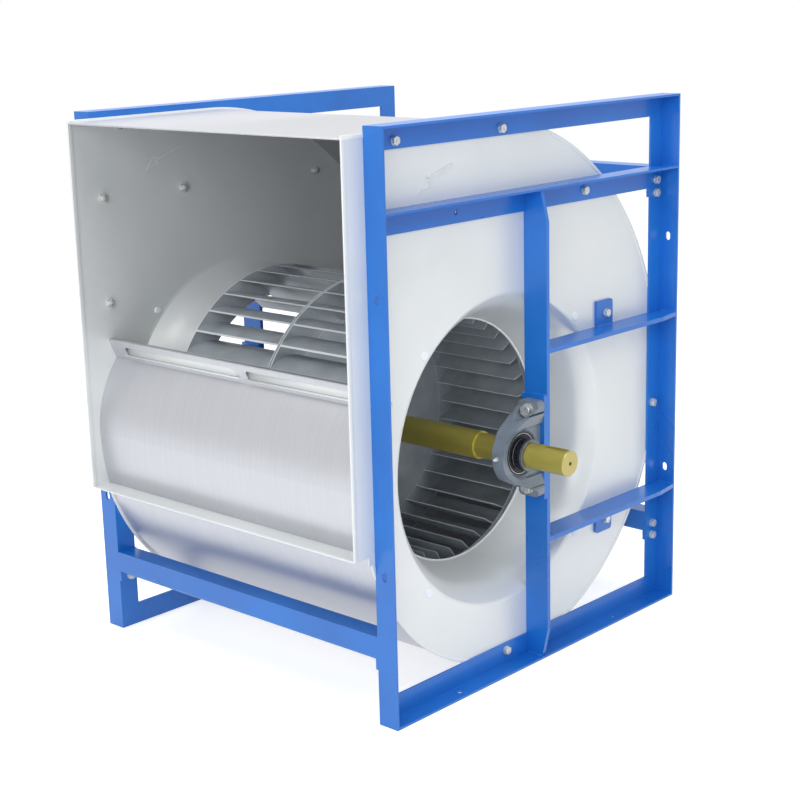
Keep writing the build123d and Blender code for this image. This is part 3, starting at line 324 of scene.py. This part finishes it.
def volute_hem():
    # the hem's section is drawn back along the roof and then spun round the volute's three arcs
    piece = start(
        "right_volute_hem",
        bpy.ops.mesh.primitive_plane_add,
        size=1,
        location=(PLATE_X - HEM_SINK, OUTLET_Y, VOLUTE_TOP + HEM_OUT - HEM_WIDTH / 2),
        rotation=(radians(90), 0, 0),
    )
    bpy.ops.transform.resize(value=(HEM_THICK, 1, HEM_WIDTH))
    run = TOP_CENTRE.x - OUTLET_Y
    bpy.ops.mesh.extrude_region_move(TRANSFORM_OT_translate={"value": (0, run, 0)})
    for centre, sweep, steps in ((TOP_CENTRE, 90, 48), (REAR_CENTRE, 90, 44), (LOW_CENTRE, LOW_SWEEP, 32)):
        bpy.ops.mesh.spin(steps=steps, angle=radians(sweep), center=(0, centre.x, centre.y), axis=(1, 0, 0))
    bevel_with(piece, 0.9)
    complete(piece, finishes["casing_sheet"])
    both_sides(piece, "frame")


def bar_hem(name, low, high, width_mm, material):
    # a straight folded edge: a bar with all its edges rounded
    low, high = Vector(low), Vector(high)
    piece = start(name, bpy.ops.mesh.primitive_cube_add, size=1, location=(low + high) / 2)
    bpy.ops.transform.resize(value=high - low)
    bpy.ops.mesh.bevel(offset=width_mm * MM, segments=3, affect="EDGES")
    return complete(piece, material)


def outlet_hems():
    nose = OUTLET_Y - HEM_OUT
    inner = PLATE_X - OUTLET_HEM_WIDTH
    side = bar_hem(
        "right_outlet_hem",
        (inner, nose, OUTLET_BOTTOM - END_COVER),
        (PLATE_X + SIDE_COVER, OUTLET_Y + OUTLET_HEM_DEPTH, VOLUTE_TOP + END_COVER),
        1.3,
        finishes["casing_sheet"],
    )
    both_sides(side, "frame")
    sheet_top = VOLUTE_TOP - ROOF_DROP
    bar_hem(
        "outlet_top_hem",
        (-inner, nose, sheet_top - BAR_HEM_THICK),
        (inner, OUTLET_Y + OUTLET_HEM_DEPTH, sheet_top + SIDE_COVER),
        1.2,
        rolled_sheet,
    )
    bar_hem(
        "outlet_lip_hem",
        (-inner, nose, OUTLET_BOTTOM - END_COVER),
        (inner, OUTLET_Y + OUTLET_HEM_DEPTH, OUTLET_BOTTOM + BAR_HEM_THICK),
        1.2,
        finishes["casing_sheet"],
    )


# Rims of the inlet bells: the throat's edge is rolled over into a thin round bead
BELL_THROAT_R = 269.6 * MM
BELL_THROAT_X = 279.8 * MM
RIM_R = 2.6 * MM
RIM_SIDES = 12


def bell_rim():
    piece = start(
        "right_bell_rim",
        bpy.ops.mesh.primitive_circle_add,
        vertices=RIM_SIDES,
        radius=RIM_R,
        location=(BELL_THROAT_X, SHAFT.y, SHAFT.z + BELL_THROAT_R),
        rotation=(radians(90), 0, 0),
    )
    bpy.ops.mesh.spin(steps=180, angle=radians(360), center=SHAFT, axis=(1, 0, 0))
    complete(piece, finishes["casing_sheet"], smooth=80)
    both_sides(piece, "frame")


# Troughs behind the long slots of the tongue nose, each with a lip curled out over the scroll
TONGUE_MIDDLE = spot(22.5, 674)
UP_THE_TONGUE = Vector((-0.400, 0.916))
OUT_OF_THE_TONGUE = Vector((-0.916, -0.400))
TROUGH_WALL = 1.0 * MM
PLANE_HALF = 0.5
# the trough's section from its upper edge down to the curled lip, as (out, up) in mm
TROUGH_PROFILE = (
    (0, 13), (-3, 12), (-7, 8), (-8, 2), (-6.5, -5), (-2.5, -10), (2, -12.5), (4.5, -11), (4.5, -8.5),
)


def tongue_trough(name, low_x, high_x):
    # a plane as long as the slot becomes the first strip, and its lower edge is drawn on round the section
    points = []
    for out, up in TROUGH_PROFILE:
        points.append(TONGUE_MIDDLE + OUT_OF_THE_TONGUE * out * MM + UP_THE_TONGUE * up * MM)
    piece = start(name, bpy.ops.mesh.primitive_plane_add, size=1)
    bpy.ops.transform.resize(value=((high_x - low_x) * MM, 1, 1))
    bpy.ops.transform.translate(value=((high_x + low_x) / 2 * MM, 0, 0))
    for point, end in ((points[1], Vector((PLANE_HALF, 0))), (points[0], Vector((-PLANE_HALF, 0)))):
        choose(piece, lambda place: (place.yz - end).length < NEAR)
        bpy.ops.transform.translate(value=(0, *(point - end)))
    choose(piece, lambda place: (place.yz - points[1]).length < NEAR)
    for before, after in zip(points[1:], points[2:]):
        step = after - before
        bpy.ops.mesh.extrude_region_move(TRANSFORM_OT_translate={"value": (0, step.x, step.y)})
    wall = piece.modifiers.new("sheet", "SOLIDIFY")
    wall.thickness = TROUGH_WALL
    wall.offset = 0
    bevel_with(piece, 0.3, 1)
    complete(piece, finishes["casing_sheet"], smooth=60)


# Rotation arrow embossed in each side plate: a raised outline, corners given from tail to tip
ARROW_TAIL = (spot(256, 1108), spot(253, 1117))
ARROW_NOTCH = (spot(185, 1085), spot(183, 1094))
ARROW_BARBS = (spot(189, 1076), spot(177, 1100))
ARROW_TIP = spot(149, 1065)
ARROW_LINE = 2.8 * MM
ARROW_RELIEF = 2.4 * MM
ARROW_WALL = 4.5 * MM
HAIR = 0.02 * MM


def rotation_arrow():
    face_x = PLATE_X + ARROW_RELIEF
    piece = start("right_arrow", bpy.ops.mesh.primitive_plane_add, size=1)
    goals = {(-1, -1): ARROW_TAIL[0], (-1, 1): ARROW_TAIL[1], (1, -1): ARROW_NOTCH[0], (1, 1): ARROW_NOTCH[1]}
    for (across, up), goal in goals.items():
        here = Vector((across / 2, up / 2, 0))
        choose(piece, lambda place: (place - here).length < NEAR)
        bpy.ops.transform.translate(value=Vector((face_x, *goal)) - here)
    choose(piece, lambda place: min((place.yz - notch).length for notch in ARROW_NOTCH) < NEAR)
    # the barbs: the shaft's end is extruded by a hair's breadth, so that its new corners can be told apart
    bpy.ops.mesh.extrude_region_move(TRANSFORM_OT_translate={"value": (0, -HAIR, 0)})
    for barb, notch in zip(ARROW_BARBS, ARROW_NOTCH):
        here = notch - Vector((HAIR, 0))
        choose(piece, lambda place: (place.yz - here).length < HAIR / 4)
        bpy.ops.transform.translate(value=(0, *(barb - here)))
    choose(piece, lambda place: min((place.yz - barb).length for barb in ARROW_BARBS) < HAIR / 4)
    bpy.ops.mesh.extrude_region_move()
    bpy.ops.mesh.merge(type="CENTER")
    middle = (ARROW_BARBS[0] + ARROW_BARBS[1]) / 2
    bpy.ops.transform.translate(value=(0, *(ARROW_TIP - middle)))
    bpy.ops.mesh.select_all(action="SELECT")
    bpy.ops.mesh.normals_make_consistent(inside=False)
    bpy.ops.mesh.inset(thickness=ARROW_LINE)
    bpy.ops.mesh.delete(type="FACE")
    bpy.ops.mesh.select_all(action="SELECT")
    bpy.ops.mesh.extrude_region_move(TRANSFORM_OT_translate={"value": (-ARROW_WALL, 0, 0)})
    bevel_with(piece, 0.5)
    complete(piece, finishes["casing_sheet"])
    both_sides(piece, "frame")


# Weld beads in the corners of the side frames: one length of bead, copied and stretched a little
BEAD_LENGTH = 40 * MM
BEAD_STEP = 1.8 * MM
BEAD_DROP = Vector((1.9, 3.2, 3.0)) * MM
BEAD_RIPPLE = 0.8 * MM
STRUT_FRONT, STRUT_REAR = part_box("right_bearing_strut")[0].y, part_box("right_bearing_strut")[1].y
STRUT_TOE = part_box("right_bearing_strut")[1].x
PAD_BOTTOM, PAD_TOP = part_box("right_bearing_pad")[0].z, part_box("right_bearing_pad")[1].z
RAIL_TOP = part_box("right_second_rail")[1].z
STAY_TOPS = (704 * MM, 284 * MM)
POST_INSIDE = (FRONT_Y + ANGLE_THICK, REAR_Y - ANGLE_THICK)
LUG_EDGES = (spot(735, 0).x, spot(797, 0).x)
LUG_FACE = PLATE_X + 6 * MM


def bead_lines():
    # start and end of each weld on the right-hand side frame
    inner, outer = LEG_X + 2 * MM, TOE_X - 3 * MM
    edge = STRUT_TOE - 2 * MM
    lines = []
    for height in (PAD_TOP, PAD_BOTTOM):
        lines.append(((inner, STRUT_FRONT, height), (edge, STRUT_FRONT, height)))
    for height in (RAIL_TOP - ANGLE_THICK, ANGLE_THICK):
        for depth in (STRUT_FRONT, STRUT_REAR):
            lines.append(((inner, depth, height), (outer - 4 * MM, depth, height)))
    for height in STAY_TOPS:
        lines.append(((inner, STRUT_REAR, height), (edge, STRUT_REAR, height)))
        lines.append(((inner, POST_INSIDE[1], height), (outer, POST_INSIDE[1], height)))
    for depth in POST_INSIDE:
        lines.append(((inner, depth, RAIL_TOP), (outer, depth, RAIL_TOP)))
    lines.append(((LUG_FACE, LUG_EDGES[0], STAY_TOPS[0]), (LUG_FACE, LUG_EDGES[1], STAY_TOPS[0])))
    return lines


def bead_length():
    # one drop of weld metal repeated in a row and melted together into a rippled bead
    piece = start("bead", bpy.ops.mesh.primitive_uv_sphere_add, segments=14, ring_count=8, radius=1)
    bpy.ops.transform.resize(value=BEAD_DROP)
    bpy.ops.object.mode_set(mode="OBJECT")
    row = piece.modifiers.new("row", "ARRAY")
    row.count = round(BEAD_LENGTH / BEAD_STEP)
    row.use_relative_offset = False
    row.use_constant_offset = True
    row.constant_offset_displace = (BEAD_STEP, 0, 0)
    melt = piece.modifiers.new("melt", "REMESH")
    melt.mode = "VOXEL"
    melt.voxel_size = BEAD_RIPPLE
    for name in ("row", "melt"):
        bpy.ops.object.modifier_apply(modifier=name)
    return piece


def weld_beads():
    model = bead_length()
    run_from = model.bound_box[0][0]
    run = model.bound_box[6][0] - run_from
    copies = []
    for first, last in bead_lines():
        first, last = Vector(first), Vector(last)
        line = last - first
        count = max(1, round(line.length / run))
        turn = Matrix.Identity(4) if abs(line.x) > abs(line.y) else Matrix.Rotation(radians(90), 4, "Z")
        for index in range(count):
            copy = model.copy()
            copy.data = model.data.copy()
            bpy.context.scene.collection.objects.link(copy)
            place = Matrix.Translation(first + line * index / count)
            size = Matrix.Diagonal((line.length / count / run, 1, 1, 1))
            copy.matrix_world = place @ turn @ size @ Matrix.Translation((-run_from, 0, 0))
            copies.append(copy)
    bpy.data.objects.remove(model)
    bpy.ops.object.select_all(action="DESELECT")
    for copy in copies:
        copy.select_set(True)
    bpy.context.view_layer.objects.active = copies[0]
    bpy.ops.object.join()
    piece = bpy.context.object
    piece.name = "right_weld_beads"
    bpy.ops.object.transform_apply()
    bpy.ops.object.mode_set(mode="EDIT")
    complete(piece, finishes["frame_paint"], smooth=80)
    both_sides(piece, "frame")


volute_hem()
outlet_hems()
bell_rim()
tongue_trough("left_tongue_trough", -369, 8)
tongue_trough("right_tongue_trough", 33, 402)
rotation_arrow()
weld_beads()

# Camera: the place and lens that reproduce the photograph's view
CAMERA_PLACE = Vector((2.5671, -2.7371, 1.4507))
CAMERA_AZIMUTH = 42.771
CAMERA_ELEVATION = 13.941
CAMERA_ROLL = -1.443
LENS = 74.28
SENSOR = 36.0


def add_camera():
    turn, lift = radians(CAMERA_AZIMUTH), radians(CAMERA_ELEVATION)
    back = Vector((sin(turn) * cos(lift), -cos(turn) * cos(lift), sin(lift)))
    right = Vector((0, 0, 1)).cross(back).normalized()
    up = back.cross(right)
    roll = radians(CAMERA_ROLL)
    right, up = cos(roll) * right + sin(roll) * up, cos(roll) * up - sin(roll) * right
    data = bpy.data.cameras.new("photo_view")
    data.lens = LENS
    data.sensor_width = SENSOR
    camera = bpy.data.objects.new("photo_view", data)
    bpy.context.scene.collection.objects.link(camera)
    rows = Matrix((right, up, back)).transposed().to_4x4()
    rows.translation = CAMERA_PLACE
    camera.matrix_world = rows
    bpy.context.scene.camera = camera


def add_lamp(name, place, target, size, power, colour="#FFFFFF"):
    data = bpy.data.lights.new(name, "AREA")
    data.shape = "RECTANGLE"
    data.size, data.size_y = size
    data.energy = power
    data.color = paint(colour)[:3]
    lamp = bpy.data.objects.new(name, data)
    bpy.context.scene.collection.objects.link(lamp)
    lamp.location = place
    lamp.rotation_euler = (Vector(target) - Vector(place)).to_track_quat("-Z", "Y").to_euler()


def seen_directly(owner):
    # 1 for camera, mirror and see-through rays, 0 for the rays that light the object
    path = node(owner, "ShaderNodeLightPath")
    either = node(
        owner, "ShaderNodeMath", {"operation": "MAXIMUM"}, i0=path["Is Camera Ray"], i1=path["Is Glossy Ray"]
    )
    return node(
        owner, "ShaderNodeMath", {"operation": "MAXIMUM"}, i0=either["Value"], i1=path["Is Transmission Ray"]
    )["Value"]


def add_world():
    world = bpy.data.worlds.new("white_studio")
    world.use_nodes = True
    dim = world.node_tree.nodes["Background"]
    dim.inputs["Color"].default_value = paint("#F5F8FC")
    dim.inputs["Strength"].default_value = WORLD_LIGHT
    white = node(world, "ShaderNodeBackground", Color=(1, 1, 1, 1), Strength=1.0)["Background"]
    mix = node(world, "ShaderNodeMixShader", i0=seen_directly(world), i1=dim.outputs[0], i2=white)["Shader"]
    world.node_tree.links.new(mix, world.node_tree.nodes["World Output"].inputs["Surface"])
    bpy.context.scene.world = world


def add_floor():
    bpy.ops.object.select_all(action="DESELECT")
    bpy.ops.mesh.primitive_circle_add(vertices=96, radius=9, fill_type="NGON", location=(0, 0, -0.0005))
    floor = bpy.context.object
    floor.name = "studio_floor"
    # matt white studio floor: seen directly it glows a little, so that only the shadow shows on it
    material, shader = new_material("matt_white_floor")
    shader.inputs["Base Color"].default_value = paint("#F4F4F4")
    shader.inputs["Roughness"].default_value = 0.9
    glow = node(material, "ShaderNodeEmission", Color=(1, 1, 1, 1), Strength=FLOOR_GLOW)["Emission"]
    lit = shader.outputs["BSDF"]
    both = node(material, "ShaderNodeAddShader", i0=lit, i1=glow)["Shader"]
    mix = node(material, "ShaderNodeMixShader", i0=seen_directly(material), i1=lit, i2=both)["Shader"]
    material.node_tree.links.new(mix, material.node_tree.nodes["Material Output"].inputs["Surface"])
    dress(floor, material)


# Studio: dim light from all round, a white ground and three large soft lamps
WORLD_LIGHT = 0.5
FLOOR_GLOW = 0.55
add_camera()
add_world()
add_floor()
add_lamp("overhead_softbox", (-0.4, -0.6, 4.4), (0, 0, 0.6), (4.2, 3.6), 130)
add_lamp("front_softbox", (2.8, -4.8, 2.4), (0, 0, 0.7), (3.2, 2.4), 95)
add_lamp("right_softbox", (3.6, -0.2, 4.2), (0.4, 0, 0.4), (2.6, 2.2), 40)

bpy.context.scene.view_settings.view_transform = "Standard"
